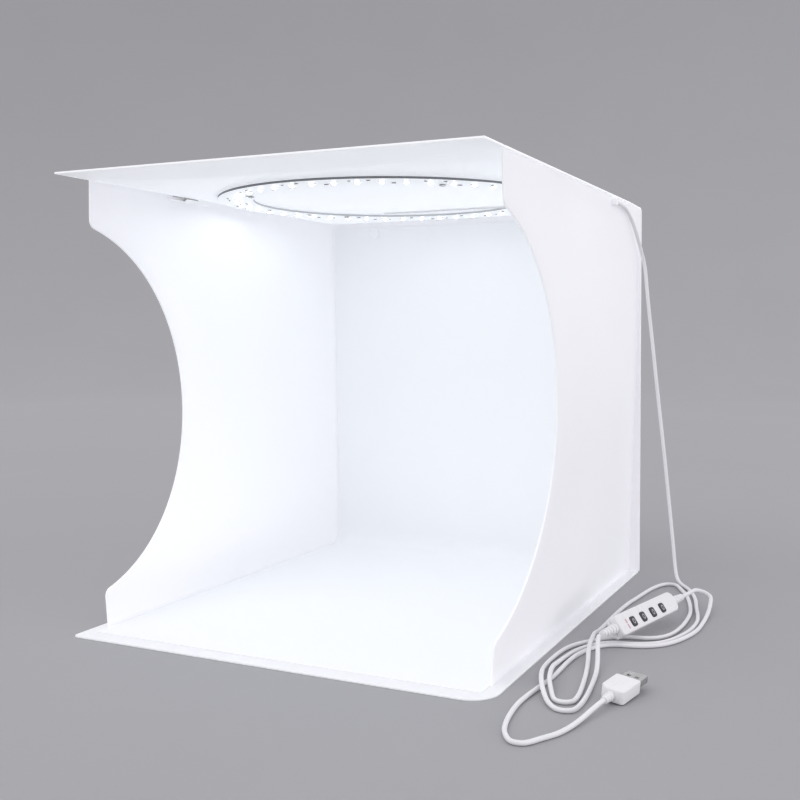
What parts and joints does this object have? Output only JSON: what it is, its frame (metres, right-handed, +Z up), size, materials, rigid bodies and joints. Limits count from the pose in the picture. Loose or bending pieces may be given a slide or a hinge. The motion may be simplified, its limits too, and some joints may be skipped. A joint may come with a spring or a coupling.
{
  "type": "photo light tent",
  "caption": "Foldable box of frosted sheet with an open front, a ring of lights under its roof, a swept backdrop, and a cable with an in-line hand control and USB plug.",
  "frame": {"origin": "middle of the tent's box at the height of the table, without the cable and what is on it", "axes": "+Z up, +X towards the wall that carries the cable gland, -Y towards the open front"},
  "size_m": [0.3729, 0.4, 0.3],
  "materials": {
    "bottom_panel": "frosted translucent sheet",
    "back_panel": "frosted translucent sheet",
    "top_panel": "frosted translucent sheet",
    "top_flap": "frosted translucent sheet",
    "left_wall": "frosted translucent sheet",
    "right_wall": "frosted translucent sheet",
    "backdrop_sheet": "matt white sheet",
    "backdrop_stud_left": "satin moulded white",
    "backdrop_stud_right": "satin moulded white",
    "backdrop_cap_left": "satin moulded white",
    "backdrop_cap_right": "satin moulded white",
    "snap_stud_left": "bright plated",
    "snap_stud_right": "bright plated",
    "snap_socket_left": "bright plated",
    "snap_socket_right": "bright plated",
    "ring_carrier": "satin moulded white",
    "ring_board": "circuit board with lights",
    "ring_screw_1": "bright plated",
    "ring_screw_2": "bright plated",
    "ring_screw_3": "bright plated",
    "ring_screw_4": "bright plated",
    "ring_lead": "smooth white jacket",
    "lead_clip_1": "satin moulded white",
    "lead_clip_2": "satin moulded white",
    "cable_gland": "satin moulded white",
    "cord_in": "smooth white jacket",
    "cord_out": "smooth white jacket",
    "control_top": "satin moulded white",
    "control_base": "satin moulded white",
    "control_circuit": "circuit board",
    "button_1": "dark grey moulded",
    "button_2": "dark grey moulded",
    "button_3": "dark grey moulded",
    "button_4": "dark grey moulded",
    "relief_in": "satin moulded white",
    "relief_out": "satin moulded white",
    "plug_relief": "satin moulded white",
    "plug_grip": "satin moulded white",
    "plug_shell": "bright plated",
    "plug_tongue": "satin moulded white"
  },
  "bodies": {
    "base": {"bottom_panel": "bottom_panel", "back_panel": "back_panel", "backdrop_sheet": "backdrop_sheet", "backdrop_stud_left": "backdrop_stud_left", "backdrop_stud_right": "backdrop_stud_right", "backdrop_cap_left": "backdrop_cap_left", "backdrop_cap_right": "backdrop_cap_right"},
    "left_wall": {"left_wall": "left_wall", "snap_stud_left": "snap_stud_left"},
    "right_wall": {"right_wall": "right_wall", "snap_stud_right": "snap_stud_right", "cable_gland": "cable_gland", "cord_in": "cord_in", "relief_in": "relief_in", "control_top": "control_top", "control_base": "control_base", "control_circuit": "control_circuit", "relief_out": "relief_out", "cord_out": "cord_out", "plug_relief": "plug_relief", "plug_grip": "plug_grip", "plug_shell": "plug_shell", "plug_tongue": "plug_tongue"},
    "roof": {"top_panel": "top_panel", "ring_carrier": "ring_carrier", "ring_board": "ring_board", "ring_screw_1": "ring_screw_1", "ring_screw_2": "ring_screw_2", "ring_screw_3": "ring_screw_3", "ring_screw_4": "ring_screw_4", "ring_lead": "ring_lead", "lead_clip_1": "lead_clip_1", "lead_clip_2": "lead_clip_2", "snap_socket_left": "snap_socket_left", "snap_socket_right": "snap_socket_right"},
    "flap": {"top_flap": "top_flap"},
    "button_1": {"button_1": "button_1"},
    "button_2": {"button_2": "button_2"},
    "button_3": {"button_3": "button_3"},
    "button_4": {"button_4": "button_4"}
  },
  "joints": [
    {"name": "left_wall_hinge", "type": "hinge", "parent": "base", "child": "left_wall", "pos_m": [-0.1437, 0.17525, 0.15], "axis": [0, 0, -1], "range_deg": [0, 90]},
    {"name": "right_wall_hinge", "type": "hinge", "parent": "base", "child": "right_wall", "pos_m": [0.1437, 0.17525, 0.15], "axis": [0, 0, 1], "range_deg": [0, 90]},
    {"name": "roof_hinge", "type": "hinge", "parent": "base", "child": "roof", "pos_m": [0, 0.17675, 0.2986], "axis": [-1, 0, 0], "range_deg": [0, 90]},
    {"name": "flap_hinge", "type": "hinge", "parent": "roof", "child": "flap", "pos_m": [0, -0.14975, 0.2994], "axis": [-1, 0, 0], "range_deg": [-90, 90]},
    {"name": "button_1_press", "type": "slide", "parent": "right_wall", "child": "button_1", "axis": [-0.7641, 0.2255, -0.6044], "range_m": [0, 0.0004], "stiffness_N_per_m": 2500, "springref_m": -0.0002},
    {"name": "button_2_press", "type": "slide", "parent": "right_wall", "child": "button_2", "axis": [-0.7641, 0.2255, -0.6044], "range_m": [0, 0.0004], "stiffness_N_per_m": 2500, "springref_m": -0.0002},
    {"name": "button_3_press", "type": "slide", "parent": "right_wall", "child": "button_3", "axis": [-0.7641, 0.2255, -0.6044], "range_m": [0, 0.0004], "stiffness_N_per_m": 2500, "springref_m": -0.0002},
    {"name": "button_4_press", "type": "slide", "parent": "right_wall", "child": "button_4", "axis": [-0.7641, 0.2255, -0.6044], "range_m": [0, 0.0004], "stiffness_N_per_m": 2500, "springref_m": -0.0002}
  ]
}
